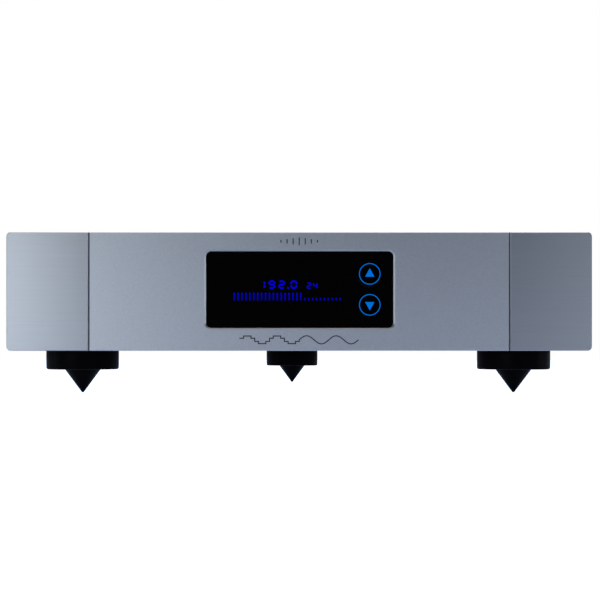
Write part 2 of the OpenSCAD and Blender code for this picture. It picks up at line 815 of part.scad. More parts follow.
// Fuse drawer: a tray open on top, behind a front plate with a thumb notch.
module fuse_drawer() {
    w = drawer_pocket[0] - 2 * drawer_room;
    h = drawer_pocket[1] - 2 * drawer_room;
    l = drawer_pocket[2] - 1;
    color(black) difference() {
        union() {
            wall(mains_face_y - l, l + 0.1) translate([mains_x, drawer_z]) square([w, h], center = true);
            wall(mains_face_y + 0.05, 1.4) translate([mains_x, drawer_z]) rounded(w + 2.4, h + 0.6, 0.8);
        }
        facing_back(mains_x, mains_face_y - l + 1, drawer_z) cylinder(r = fuse_r + slip, h = fuse_l + 1);
        block([mains_x - fuse_r - slip, mains_face_y - l + 1, drawer_z],
              [mains_x + fuse_r + slip, mains_face_y - l + 2 + fuse_l, drawer_z + h]);
        // thumb notch
        wall(mains_face_y + 0.75, 2) translate([mains_x, drawer_z - h / 2]) square([8, 3], center = true);
    }
}

// Glass tube between two metal caps.
module fuse() {
    back_y = mains_face_y - drawer_pocket[2] + 2.5;
    cap_l = 5;
    glass_r = fuse_r - 0.15;
    color(steel) facing_back(mains_x, back_y, drawer_z) {
        cylinder(r = glass_r, h = fuse_l - 1);
        for (z = [0, fuse_l - cap_l]) translate([0, 0, z]) cylinder(r = fuse_r, h = cap_l);
    }
}

// ---------------------------------------------------------------- phono sockets

phono_barrel_r = 4.15;
phono_bore_r = 3.35;
phono_pin_r = 1.65;
phono_pin_depth = 8;

// Shell of a phono socket: nut-shaped flange outside, threaded barrel through the panel.
module phono_shell(x) {
    color(gold) facing_back(x, rear_y, socket_z) difference() {
        union() {
            cylinder(r = 7, h = 2.4, $fn = 6);
            translate([0, 0, 2.4 - 0.01]) cylinder(r = 5, h = 0.8);
            translate([0, 0, -12]) cylinder(r = phono_barrel_r, h = 12 + jack_proud - 0.5);
            translate([0, 0, jack_proud - 0.5 - 0.01])
                cylinder(r1 = phono_barrel_r, r2 = phono_barrel_r - 0.5, h = 0.51);
            // nut and washer behind the panel
            translate([0, 0, -rear_t - 3]) cylinder(r = 6.6, h = 3, $fn = 6);
        }
        translate([0, 0, -12 - eps]) cylinder(r = phono_bore_r, h = 12 + jack_proud + 2 * eps);
    }
}

module phono_left_shell() { phono_shell(phono_left_x); }
module phono_right_shell() { phono_shell(phono_right_x); }
module phono_coax_shell() { phono_shell(coax_x); }

// Insulator inside each shell, with the hole for the plug's pin, and a bush in the panel's hole.
module phono_insulators() {
    color("white")
        for (x = [coax_x, phono_left_x, phono_right_x]) {
            facing_back(x, rear_y - 14, socket_z) difference() {
                cylinder(r = phono_bore_r, h = 14 + phono_pin_depth + 0.5);
                translate([0, 0, 14.5]) cylinder(r = phono_pin_r, h = phono_pin_depth + eps);
            }
            facing_back(x, rear_y - rear_t, socket_z) ring(phono_hole_r, phono_barrel_r, rear_t);
        }
}

// ---------------------------------------------------------------- XLR sockets

xlr_flange_t = 2;
xlr_cup_r = 9.7;
xlr_cup_depth = 15;
xlr_pin_r = 1.2;
xlr_pin_ring_r = 4.2;
xlr_pin_angles = [30, 150, 270];
xlr_body_r = 12;
xlr_body_depth = 20;                    // behind the panel
xlr_outputs = [xlr_left_x, xlr_right_x];
xlr_places = [xlr_input_x, xlr_left_x, xlr_right_x];
connector_screw_places = concat(
    [for (x = xlr_places, s = [-1, 1]) [x + s * xlr_screw[0], socket_z - s * xlr_screw[1]]],
    [for (s = [-1, 1]) [mains_x + s * mains_screw_x, socket_z]]);

// Flange and body shared by every XLR socket.
module xlr_casting(x) {
    wall(rear_y, xlr_flange_t) difference() {
        translate([x, socket_z]) rounded(xlr_flange[0], xlr_flange[1], 2.5);
        translate([x, socket_z]) circle(xlr_cup_r);
        for (s = [-1, 1])
            translate([x + s * xlr_screw[0], socket_z - s * xlr_screw[1]]) circle(screw_r + room);
    }
    facing_back(x, rear_y - xlr_body_depth, socket_z) difference() {
        cylinder(r = xlr_body_r, h = xlr_body_depth + 0.5);
        translate([0, 0, xlr_body_depth - xlr_cup_depth + xlr_flange_t])
            cylinder(r = xlr_cup_r, h = xlr_body_depth);
        translate([0, 0, -eps]) cylinder(r = xlr_cup_r - 0.6, h = xlr_body_depth);
    }
}

// Keyway rib at the bottom of a cup.
module xlr_rib(x) {
    block([x - 1, rear_y - 10, socket_z - xlr_cup_r - 0.3],
          [x + 1, rear_y + 1, socket_z - xlr_cup_r + 0.9]);
}

module xlr_output_shell(x) {
    color(steel) {
        xlr_casting(x);
        xlr_rib(x);
    }
}

module xlr_left_shell() { xlr_output_shell(xlr_left_x); }
module xlr_right_shell() { xlr_output_shell(xlr_right_x); }

xlr_floor_y = rear_y + xlr_flange_t - xlr_cup_depth;    // bottom of each cup

module xlr_output_inserts() {
    color(black)
        for (x = xlr_outputs)
            facing_back(x, rear_y - xlr_body_depth - 2, socket_z) difference() {
                cylinder(r = xlr_cup_r - 0.6 - slip, h = xlr_floor_y - rear_y + xlr_body_depth + 2);
                for (a = xlr_pin_angles)
                    rotate(-a) translate([xlr_pin_ring_r, 0, -eps])
                        cylinder(r = xlr_pin_r + slip, h = xlr_body_depth);
            }
}

module xlr_output_pins() {
    back_y = rear_y - xlr_body_depth - 7;
    length = xlr_floor_y + 12 - back_y;
    tip = 0.8;
    color(gold)
        for (x = xlr_outputs, a = xlr_pin_angles)
            facing_back(x, back_y, socket_z) rotate(-a) translate([xlr_pin_ring_r, 0, 0]) {
                cylinder(r = xlr_pin_r, h = length - tip);
                translate([0, 0, length - tip - 0.01])
                    cylinder(r1 = xlr_pin_r, r2 = xlr_pin_r - 0.6, h = tip + 0.01);
            }
}

latch = [7, 4];                         // width and height of the release tab
latch_z = socket_z + 12;
latch_travel = 2;
latch_room = 0.15;

module xlr_input_shell() {
    color(steel) difference() {
        xlr_casting(xlr_input_x);
        wall(rear_y - 9, 12) translate([xlr_input_x, latch_z])
            square(latch + 2 * [latch_room, latch_room], center = true);
    }
}

// Socket insert with three contact holes.
module xlr_input_insert() {
    color(black) facing_back(xlr_input_x, rear_y - xlr_body_depth - 2, socket_z) {
        difference() {
            union() {
                cylinder(r = xlr_cup_r - 0.6 - slip, h = xlr_floor_y - rear_y + xlr_body_depth + 2);
                cylinder(r = 7.8, h = xlr_body_depth + 2 + xlr_flange_t - 0.8);
            }
            for (a = xlr_pin_angles)
                rotate(-a) translate([xlr_pin_ring_r, 0, 8]) cylinder(r = 1.35, h = 20);
        }
    }
}

module xlr_latch() {
    color(steel) wall(rear_y - 6, 6 + xlr_flange_t + 1.6)
        translate([xlr_input_x, latch_z]) square(latch, center = true);
}

// Screws of the XLR flanges and of the mains inlet.
module connector_screws() {
    color(steel) {
        for (i = [0:5])
            facing_back(connector_screw_places[i][0], rear_y + xlr_flange_t, connector_screw_places[i][1])
                pan_screw(screw_r, xlr_flange_t + rear_t + 3, 2.6, 1.6);
        for (i = [6:7])
            facing_back(connector_screw_places[i][0], mains_face_y, connector_screw_places[i][1])
                flat_screw(screw_r, mains_flange_t + rear_t + 3, flat_head_r);
    }
}

// ---------------------------------------------------------------- USB and optical sockets

usb_mouth = [8.6, 7.9];
usb_proud = 0.6;
usb_depth = 16;
input_board_top_z = usb_z - usb_body[1] / 2;

module usb_socket() {
    color(steel) wall(rear_y - usb_depth, usb_depth + usb_proud) difference() {
        translate([usb_x, usb_z]) square(usb_body, center = true);
        translate([usb_x, usb_z]) usb_outline(usb_mouth[0], usb_mouth[1]);
    }
}

// Mouth of the socket: a rectangle with its two upper corners cut off.
module usb_outline(w, h) {
    c = 1.8;
    polygon([[-w / 2, -h / 2], [w / 2, -h / 2], [w / 2, h / 2 - c], [w / 2 - c, h / 2],
             [c - w / 2, h / 2], [-w / 2, h / 2 - c]]);
}

module usb_tongue() {
    color("white") {
        wall(rear_y - usb_depth, 5)
            translate([usb_x, usb_z]) usb_outline(usb_mouth[0] - 0.1, usb_mouth[1] - 0.1);
        wall(rear_y - usb_depth, usb_depth - 1)
            translate([usb_x, usb_z]) square([5.6, 3.2], center = true);
    }
}

optical_proud = 2.7;
optical_mouth = 8.6;
optical_depth = 16;
shutter = [8.2, 8.2, 0.8];
shutter_pin_r = 0.5;
shutter_z = socket_z + 4.6;             // hinge axis, above the mouth
shutter_y = rear_y + optical_proud - 1.6;

module optical_socket() {
    chamber_h = 10.6;                   // taller than the mouth, so that the shutter folds up into it
    color(black) difference() {
        wall(rear_y - optical_depth, optical_depth + optical_proud)
            translate([optical_x, socket_z]) square(optical_body, center = true);
        wall(rear_y - 4, 10) translate([optical_x, socket_z - 0.4])
            square([optical_mouth, optical_mouth], center = true);
        wall(rear_y - 12, 12 + optical_proud - 1)
            translate([optical_x, socket_z + 0.3]) square([optical_mouth + 0.2, chamber_h], center = true);
        translate([optical_x - 5.6, shutter_y, shutter_z]) rotate([0, 90, 0])
            cylinder(r = shutter_pin_r + slip, h = 11.2);
    }
}

// Flap that closes the optical mouth and swings inward about the pin at its top.
module optical_shutter() {
    color(graphite) {
        block([optical_x - shutter[0] / 2, shutter_y - shutter[2] / 2, shutter_z - shutter[1] - 0.6],
              [optical_x + shutter[0] / 2, shutter_y + shutter[2] / 2, shutter_z]);
        translate([optical_x - 5.2, shutter_y, shutter_z]) rotate([0, 90, 0])
            cylinder(r = shutter_pin_r, h = 10.4);
    }
}

// ---------------------------------------------------------------- transformers

toroid_r = 46;
toroid_hole_r = 17;
toroid_h = 42;
pad_t = 2;
clamp_t = 2;
toroid_z = floor_z + pad_t;

module toroid(place) {
    f = 7;
    color([0.55, 0.30, 0.12]) translate([place[0], place[1], toroid_z]) rotate_extrude() {
        translate([toroid_hole_r, f]) square([toroid_r - toroid_hole_r, toroid_h - 2 * f]);
        translate([toroid_hole_r + f, 0]) square([toroid_r - toroid_hole_r - 2 * f, toroid_h]);
        for (x = [toroid_hole_r + f, toroid_r - f], y = [f, toroid_h - f]) translate([x, y]) circle(f);
    }
}

module digital_transformer() { toroid(digital_place); }
module analogue_transformer() { toroid(analogue_place); }

module transformer_pads() {
    color(black)
        for (p = [digital_place, analogue_place], z = [floor_z, toroid_z + toroid_h])
            translate([p[0], p[1], z]) ring(36, bolt_r + 0.5, pad_t);
}

// Clamp plate, bolt and nut of each transformer.
module transformer_clamps() {
    clamp_z = toroid_z + toroid_h + pad_t;
    color(steel)
        for (p = [digital_place, analogue_place]) {
            translate([p[0], p[1], clamp_z]) ring(34, bolt_r + slip, clamp_t);
            translate([p[0], p[1], under_z]) mirror([0, 0, 1])
                flat_screw(bolt_r, clamp_z + clamp_t + 8 - under_z, bolt_head_r);
            translate([p[0], p[1], clamp_z + clamp_t]) difference() {
                cylinder(r = 5.8, h = 5, $fn = 6);
                translate([0, 0, -eps]) cylinder(r = bolt_r + slip, h = 6);
            }
        }
}

// ---------------------------------------------------------------- circuit boards

standoff_h = 10;
board_z = floor_z + standoff_h;
board_top_z = board_z + board_t;
standoff_r = 3;
power_area = [[-84, -184], [40, -34]];
dac_area = [[16, 20], [192, 168]];
input_area = [[-116, 146], [-24, 190]];
corner_inset = 6;

// The four corner fixings of a board.
function corners(area) = [for (x = [area[0][0] + corner_inset, area[1][0] - corner_inset],
                               y = [area[0][1] + corner_inset, area[1][1] - corner_inset]) [x, y]];

module bare_board(area, z) {
    difference() {
        block([area[0][0], area[0][1], z], [area[1][0], area[1][1], z + board_t]);
        for (p = corners(area))
            translate([p[0], p[1], z - eps]) cylinder(r = board_hole_r, h = board_t + 2 * eps);
    }
}

terminal_x = [-70, -50, -30, -10];

// Supply board with its terminal blocks and rectifiers.
module power_board() {
    color(board_green) {
        bare_board(power_area, board_z);
        for (x = terminal_x)
            block([x, power_area[1][1] - 22, board_top_z - 0.1],
                  [x + 15, power_area[1][1] - 12, board_top_z + 11]);
        for (x = [-70, -45, -20, 5])
            block([x, -120, board_top_z - 0.1], [x + 18, -114, board_top_z + 15]);
    }
}

module power_capacitors() {
    tall = [for (x = [-66, -38, -10, 18], y = [-166, -138]) [x, y]];
    short = [for (x = [-68, -50, -32, -14, 4, 22]) [x, -100]];
    color([0.08, 0.10, 0.28]) {
        for (p = tall) translate([p[0], p[1], board_top_z]) can(12.5, 40);
        for (p = short) translate([p[0], p[1], board_top_z]) can(8, 26);
    }
}

// An electrolytic can with a crimped waist near its foot and a bevelled top.
module can(r, h) {
    rotate_extrude()
        polygon([[0, 0], [r - 0.6, 0], [r, 0.8], [r, 3], [r - 0.8, 4], [r, 5],
                 [r, h - 1], [r - 1, h], [0, h]]);
}

// Finned sink along the power board, with the regulators bolted to its flat side.
module regulator_heatsink() {
    x0 = -72;
    x1 = 28;
    y0 = -82;
    fin_count = 12;
    fin_pitch = (x1 - x0 - 2) / (fin_count - 1);
    color(black) {
        block([x0, y0, board_top_z], [x1, y0 + 4, board_top_z + 36]);
        for (i = [0:fin_count - 1])
            block([x0 + i * fin_pitch, y0 + 3.9, board_top_z + 4],
                  [x0 + i * fin_pitch + 2, y0 + 18, board_top_z + 36]);
        for (i = [0:4]) {
            x = x0 + 8 + i * 19;
            block([x, y0 - 4.4, board_top_z + 4], [x + 10, y0 + 0.1, board_top_z + 19]);
        }
    }
}

// Converter board with its relays, film capacitors and ribbon socket.
module dac_board() {
    color(board_green) {
        bare_board(dac_area, board_z);
        for (x = [40, 70, 130, 160])
            block([x, 148, board_top_z - 0.1], [x + 12, 160, board_top_z + 10]);
        for (x = [36, 54, 72, 126, 144, 162])
            block([x, 112, board_top_z - 0.1], [x + 8, 130, board_top_z + 12]);
        block([ribbon_x0 - 3, dac_area[0][1] + 2, board_top_z - 0.1],
              [ribbon_x0 + ribbon_w + 3, dac_area[0][1] + 9, board_top_z + 8]);
        block([dac_area[0][0] + 2, 62, board_top_z - 0.1], [dac_area[0][0] + 11, 78, board_top_z + 11]);
    }
}

// Receiver, processor, two converters, clock cans and output stage chips.
module dac_chips() {
    chips = [[96, 44, 14, 14], [60, 60, 20, 20],
             for (x = [40, 64, 128, 152]) [x, 92, 10, 7],
             for (x = [50, 76, 134, 160]) [x, 138, 5, 4]];
    color(black) {
        for (c = chips)
            block([c[0], c[1], board_top_z], [c[0] + c[2], c[1] + c[3], board_top_z + 1.6]);
        for (x = [124, 146]) block([x, 48, board_top_z], [x + 14, 57, board_top_z + 5]);
    }
}

// Board behind the digital inputs, with the USB receiver chip.
module input_board() {
    color(board_green) {
        bare_board(input_area, input_board_top_z - board_t);
        block([-96, 150, input_board_top_z - 0.1], [-82, 164, input_board_top_z + 1.5]);
    }
}

// Spacers and screws of all the boards.
module board_fixings() {
    color(gold) {
        for (area = [power_area, dac_area], p = corners(area)) board_fixing(p, board_z);
        for (p = corners(input_area)) board_fixing(p, input_board_top_z - board_t);
        for (p = spacer_places) {
            facing_back(p[0], sub_back_y, p[1]) ring(standoff_r, board_hole_r, board_y - sub_back_y);
            facing_back(p[0], board_y + board_t, p[1]) pan_screw(screw_r, 6, pan_head_r, pan_head_h);
        }
    }
}

// A pillar on the tray and the screw that holds the board's corner to it.
module board_fixing(p, z) {
    screw_l = 7;
    translate([p[0], p[1], floor_z]) difference() {
        cylinder(r = standoff_r, h = z - floor_z);
        translate([0, 0, z - floor_z - 8]) cylinder(r = screw_r + slip, h = 8 + eps);
    }
    translate([p[0], p[1], z + board_t]) pan_screw(screw_r, screw_l, pan_head_r, pan_head_h);
}

// ---------------------------------------------------------------- internal cables

// Sweeps a round section of radius r along points, with the given number of sides.
function unit(v) = v / norm(v);
function tangent(p, i) = unit(p[min(i + 1, len(p) - 1)] - p[max(i - 1, 0)]);
function ring_points(c, t, r, sides) =
    let (n = unit(cross(t, [0.13, 0.21, 1])), b = cross(n, t))
    [for (k = [0:sides - 1]) c + r * (cos(360 * k / sides) * n + sin(360 * k / sides) * b)];

module tube(points, r, sides) {
    n = len(points);
    rings = [for (i = [0:n - 1], v = ring_points(points[i], tangent(points, i), r, sides)) v];
    sides_faces = [for (i = [0:n - 2], k = [0:sides - 1])
        let (a = i * sides + k, b = i * sides + (k + 1) % sides) [a, b, b + sides, a + sides]];
    start = [for (k = [0:sides - 1]) sides - 1 - k];
    end = [for (k = [0:sides - 1]) (n - 1) * sides + k];
    polyhedron(points = rings, faces = concat([start], sides_faces, [end]), convexity = 8);
}

// Curve through chosen corner points: each inner corner becomes an arc of a quadratic curve.
function corner_curve(a, b, c) =
    [for (t = [0:0.25:1]) (1 - t) * (1 - t) * ((a + b) / 2) + 2 * t * (1 - t) * b + t * t * ((b + c) / 2)];
function smooth(p) = concat([p[0]], [for (i = [1:len(p) - 2]) each i == 1 ? corner_curve(p[0], p[1], p[2])
    : [for (k = [1:4]) corner_curve(p[i - 1], p[i], p[i + 1])[k]]], [p[len(p) - 1]]);

mains_cable_r = 3;
mains_route = [[mains_x, 159, 74], [mains_x, 144, 74], [-164, 112, 56], [-168, 78, 42.5], [-150, 54, 40.5],
               [-112, 50, 40.5], [-82, 28, 42.5], [-62.5, 0, 53], [-62.5, -30, 53], [-62.5, -46, 53]];

// Cable from the mains inlet to the supply board.
module mains_cable() {
    color([0.25, 0.25, 0.27]) tube(smooth(mains_route), mains_cable_r, 10);
}

lead_r = 2.2;
harness_routes = [
    [[-2.5, -46, 53], [-2.5, -26, 53], [-6, 10, 53], [-6, 50, 53], [0, 70, 53], [18, 70, 53]],
    [[-42.5, -46, 53], [-42.5, -28, 53], [-52, -10, 45], [-76, -6, 45], [-95, -8, 52]],
    [[-22.5, -46, 53], [-22.5, -24, 53], [-40, 0, 39.5], [-74, -4, 39], [-92, -30, 40.5], [-94, -60, 46],
     [-104, -80, 52]]];

// Leads from both transformers to the supply board, and from there to the converter board.
module supply_harness() {
    color([0.70, 0.12, 0.10])
        for (route = harness_routes) tube(smooth(route), lead_r, 8);
}

ribbon_w = 26;
ribbon_t = 1.2;
ribbon_x0 = 48;
ribbon_z = window_z - 12;

// Side of a strip of half-width h that follows points: each point moved along the mitre of its corner.
function normal(a, b) = let (d = (b - a) / norm(b - a)) [-d[1], d[0]];
function mitre(p, i) =
    let (before = normal(p[max(i - 1, 0)], p[max(i, 1)]),
         after = normal(p[min(i, len(p) - 2)], p[min(i + 1, len(p) - 1)]))
    (before + after) / (1 + before * after);
function strip_side(p, h) = [for (i = [0:len(p) - 1]) p[i] + h * mitre(p, i)];
function reversed(p) = [for (i = [len(p) - 1:-1:0]) p[i]];

// Flat cable from the display board to the converter board, in (y, z).
module display_ribbon() {
    r = 2;                              // bevel at each fold
    y0 = board_y + board_t + 6;
    y1 = dac_area[0][1] + 2;
    a = y0 + 6;
    b = y1 - 8;
    low = floor_z + 3;
    high = board_top_z + 4;
    route = [[y0, ribbon_z], [a - r, ribbon_z], [a, ribbon_z - r], [a, low + r], [a + r, low],
             [b - r, low], [b, low + r], [b, high - r], [b + r, high], [y1, high]];
    color([0.55, 0.56, 0.60]) across(ribbon_x0, ribbon_w)
        polygon(concat(strip_side(route, ribbon_t / 2), reversed(strip_side(route, -ribbon_t / 2))));
}

// ---------------------------------------------------------------- which node is drawn

centre_fascia();
left_cheek();
right_cheek();
front_subpanel();
display_window();
display_module();
display_readout();
display_board();
up_key_cap();
up_key_icon();
down_key_cap();
down_key_icon();
base_tray();
top_cover();
rear_panel();
cover_screws();
chassis_screws();
foot_disc_front_left();
foot_disc_front_right();
foot_disc_rear();
spike_front_left();
spike_front_right();
spike_rear();
foot_inserts();
foot_screws();
mains_inlet();
inlet_blades();
power_rocker();
fuse_drawer();
fuse();
phono_left_shell();
phono_right_shell();
phono_coax_shell();
phono_insulators();
xlr_left_shell();
xlr_right_shell();
xlr_output_inserts();
xlr_output_pins();
xlr_input_shell();
xlr_input_insert();
xlr_latch();
connector_screws();
usb_socket();
usb_tongue();
optical_socket();
optical_shutter();
digital_transformer();
analogue_transformer();
transformer_pads();
transformer_clamps();
power_board();
power_capacitors();
regulator_heatsink();
dac_board();
dac_chips();
input_board();
board_fixings();
mains_cable();
supply_harness();
display_ribbon();
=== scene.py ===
"""Looks for the full-width digital-to-analogue converter. Metres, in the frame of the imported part."""

import json
import math

import bpy
import bmesh
from mathutils import Matrix, Vector

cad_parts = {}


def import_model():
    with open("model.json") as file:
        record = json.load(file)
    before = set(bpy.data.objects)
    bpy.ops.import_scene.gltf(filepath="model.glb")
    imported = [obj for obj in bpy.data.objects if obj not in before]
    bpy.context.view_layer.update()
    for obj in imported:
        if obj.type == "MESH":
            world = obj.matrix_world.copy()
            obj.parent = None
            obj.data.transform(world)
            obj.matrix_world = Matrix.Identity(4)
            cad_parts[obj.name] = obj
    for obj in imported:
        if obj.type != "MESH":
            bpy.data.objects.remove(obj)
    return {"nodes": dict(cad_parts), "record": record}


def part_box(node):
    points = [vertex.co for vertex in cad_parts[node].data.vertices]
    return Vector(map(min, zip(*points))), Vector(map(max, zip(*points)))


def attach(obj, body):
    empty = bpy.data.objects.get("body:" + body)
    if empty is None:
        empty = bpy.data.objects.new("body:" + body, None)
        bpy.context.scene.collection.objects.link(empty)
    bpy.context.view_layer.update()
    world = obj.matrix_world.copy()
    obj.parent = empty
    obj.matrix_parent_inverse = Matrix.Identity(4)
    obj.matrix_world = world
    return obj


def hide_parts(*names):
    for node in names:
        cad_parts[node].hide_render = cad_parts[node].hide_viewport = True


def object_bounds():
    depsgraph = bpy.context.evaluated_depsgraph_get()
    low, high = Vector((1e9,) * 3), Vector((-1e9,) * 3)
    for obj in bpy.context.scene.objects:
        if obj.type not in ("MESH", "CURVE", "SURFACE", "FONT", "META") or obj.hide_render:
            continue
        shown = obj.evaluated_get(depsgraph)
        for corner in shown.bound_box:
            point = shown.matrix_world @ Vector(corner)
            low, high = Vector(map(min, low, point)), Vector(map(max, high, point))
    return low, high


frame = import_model()
cad_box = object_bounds()
nodes = frame["nodes"]
MM = 0.001

scene = bpy.context.scene
scene.view_settings.view_transform = "Standard"
scene.view_settings.look = "None"


# ---------------------------------------------------------------- node helpers

class Surface:
    """A material with one Principled shader and short ways to add nodes to it."""

    def __init__(self, name, colour, metallic=0.0, roughness=0.5, **sockets):
        self.material = bpy.data.materials.new(name)
        self.material.use_nodes = True
        self.tree = self.material.node_tree
        self.shader = self.tree.nodes["Principled BSDF"]
        self.shader.inputs["Base Color"].default_value = (*colour, 1.0)
        self.shader.inputs["Metallic"].default_value = metallic
        self.shader.inputs["Roughness"].default_value = roughness
        for key, value in sockets.items():
            self.shader.inputs[key.replace("_", " ")].default_value = value
        self.colour = colour

    def link(self, source, target):
        self.tree.links.new(source, target)

    def node(self, kind, **inputs):
        n = self.tree.nodes.new(kind)
        for key, value in inputs.items():
            n.inputs[key.replace("_", " ")].default_value = value
        return n

    def place(self, scale=(1, 1, 1), turn=(0, 0, 0)):
        """The object's own coordinates, scaled, in repeats to the metre."""
        where = self.node("ShaderNodeTexCoord")
        mapping = self.node("ShaderNodeMapping", Scale=scale, Rotation=turn)
        self.link(where.outputs["Object"], mapping.inputs["Vector"])
        return mapping.outputs["Vector"]

    def axes(self):
        """X, Y and Z of the object's own coordinates."""
        where = self.node("ShaderNodeTexCoord")
        split = self.node("ShaderNodeSeparateXYZ")
        self.link(where.outputs["Object"], split.inputs["Vector"])
        return split.outputs

    def noise(self, vector, scale=1.0, detail=3.0, rough=0.5):
        n = self.node("ShaderNodeTexNoise", Scale=scale, Detail=detail, Roughness=rough)
        self.link(vector, n.inputs["Vector"])
        return n.outputs["Fac"]

    def fit(self, value, low, high, to_low, to_high):
        n = self.node("ShaderNodeMapRange")
        for key, v in (("From Min", low), ("From Max", high), ("To Min", to_low), ("To Max", to_high)):
            n.inputs[key].default_value = v
        self.link(value, n.inputs["Value"])
        return n.outputs["Result"]

    def math(self, what, a, b=None):
        n = self.tree.nodes.new("ShaderNodeMath")
        n.operation = what
        for i, v in enumerate((a, b)):
            if isinstance(v, (int, float)):
                n.inputs[i].default_value = v
            elif v is not None:
                self.link(v, n.inputs[i])
        return n.outputs[0]

    def between(self, value, low, high):
        """1 where value lies between low and high, else 0."""
        above = self.math("GREATER_THAN", value, low)
        return self.math("MULTIPLY", above, self.math("LESS_THAN", value, high))

    def tint(self, factor, first, second):
        """Base colour that goes from first to second with the factor."""
        n = self.tree.nodes.new("ShaderNodeMix")
        n.data_type = "RGBA"
        self.link(factor, n.inputs["Factor"])
        for key, c in (("A", first), ("B", second)):
            socket = [s for s in n.inputs if s.name == key and s.type == "RGBA"][0]
            if isinstance(c, tuple):
                socket.default_value = (*c, 1.0)
            else:
                self.link(c, socket)
        out = [s for s in n.outputs if s.type == "RGBA"][0]
        self.link(out, self.shader.inputs["Base Color"])
        return out

    def rough(self, factor, low, high):
        self.link(self.fit(factor, 0.3, 0.7, low, high), self.shader.inputs["Roughness"])

    def bump(self, height, distance, strength=1.0, under=None):
        n = self.node("ShaderNodeBump", Strength=strength, Distance=distance)
        self.link(height, n.inputs["Height"])
        if under:
            self.link(under, n.inputs["Normal"])
        self.link(n.outputs["Normal"], self.shader.inputs["Normal"])
        return n.outputs["Normal"]


def scaled(colour, k):
    return tuple(min(1.0, c * k) for c in colour)


# ---------------------------------------------------------------- materials

SILVER = (0.44, 0.465, 0.50)


def brushed_aluminium(name, colour=SILVER):
    """Anodised plate brushed along X: streaks long in X and fine in Z."""
    s = Surface(name, colour, metallic=1.0, roughness=0.35, Anisotropic=0.6)
    fine = s.noise(s.place((22, 300, 3600)), detail=2.0)
    broad = s.noise(s.place((9, 120, 950)), detail=3.0, rough=0.65)
    both = s.math("ADD", s.math("MULTIPLY", fine, 0.55), s.math("MULTIPLY", broad, 0.45))
    s.tint(s.fit(both, 0.3, 0.7, 0, 1), scaled(colour, 0.95), scaled(colour, 1.05))
    s.rough(both, 0.335, 0.37)
    tangent = s.tree.nodes.new("ShaderNodeTangent")
    tangent.direction_type = "RADIAL"
    tangent.axis = "X"
    s.link(tangent.outputs["Tangent"], s.shader.inputs["Tangent"])
    s.bump(both, 0.000012, 0.4)
    return s.material


def blasted_aluminium(name, colour, fill):
    """Bead-blasted, anodised plate. Its engravings are filled with a darker paint."""
    s = Surface(name, colour, metallic=1.0, roughness=0.46)
    grain = s.noise(s.place((1, 1, 1)), scale=2600, detail=2.0)
    speckle = s.noise(s.place((1, 1, 1)), scale=760, detail=1.0)
    plate_lo, plate_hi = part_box("centre_fascia")
    x, y, z = s.axes()
    half = s.math("LESS_THAN", s.math("ABSOLUTE", x), 48 * MM)
    low = s.between(z, plate_lo.z + 2 * MM, plate_lo.z + 13 * MM)
    high = s.between(z, plate_hi.z - 11 * MM, plate_hi.z - 2 * MM)
    deep = s.between(y, plate_lo.y + 0.06 * MM, plate_lo.y + 0.8 * MM)
    mask = s.math("MULTIPLY", s.math("MULTIPLY", half, deep), s.math("ADD", low, high))
    both = s.math("ADD", s.math("MULTIPLY", grain, 0.4), s.math("MULTIPLY", speckle, 0.6))
    base = s.tint(s.fit(both, 0.3, 0.7, 0, 1), scaled(colour, 0.93), scaled(colour, 1.07))
    s.tint(mask, base, fill)
    s.rough(both, 0.42, 0.50)
    s.bump(both, 0.00004, 0.5)
    return s.material


def powder_coat(name, colour):
    """Fine-textured black powder coat on sheet metal."""
    s = Surface(name, colour, roughness=0.5, Specular_IOR_Level=0.45)
    leather = s.noise(s.place((1, 1, 1)), scale=1500, detail=2.0, rough=0.4)
    patch = s.noise(s.place((1, 1, 1)), scale=9, detail=4.0)
    s.tint(s.fit(patch, 0.3, 0.7, 0, 1), scaled(colour, 0.85), scaled(colour, 1.2))
    s.rough(leather, 0.42, 0.58)
    s.bump(leather, 0.00012, 0.45)
    return s.material


def moulded(name, colour, roughness=0.45, grain=900, depth=0.00004):
    """Moulded plastic with a fine spark-eroded grain."""
    s = Surface(name, colour, roughness=roughness)
    g = s.noise(s.place((1, 1, 1)), scale=grain, detail=3.0)
    p = s.noise(s.place((1, 1, 1)), scale=60, detail=2.0)
    s.tint(s.fit(p, 0.3, 0.7, 0, 1), scaled(colour, 0.88), scaled(colour, 1.14))
    s.rough(g, roughness - 0.06, roughness + 0.08)
    s.bump(g, depth, 0.5)
    return s.material


def plated(name, colour, roughness=0.22, streak=(700, 700, 700)):
    """Plated or turned metal with fine tool marks and slight clouding."""
    s = Surface(name, colour, metallic=1.0, roughness=roughness)
    g = s.noise(s.place(streak), detail=3.0)
    p = s.noise(s.place((1, 1, 1)), scale=150, detail=3.0)
    s.tint(s.fit(p, 0.3, 0.7, 0, 1), scaled(colour, 0.86), scaled(colour, 1.08))
    s.rough(g, roughness - 0.05, roughness + 0.10)
    s.bump(g, 0.00001, 0.4)
    return s.material


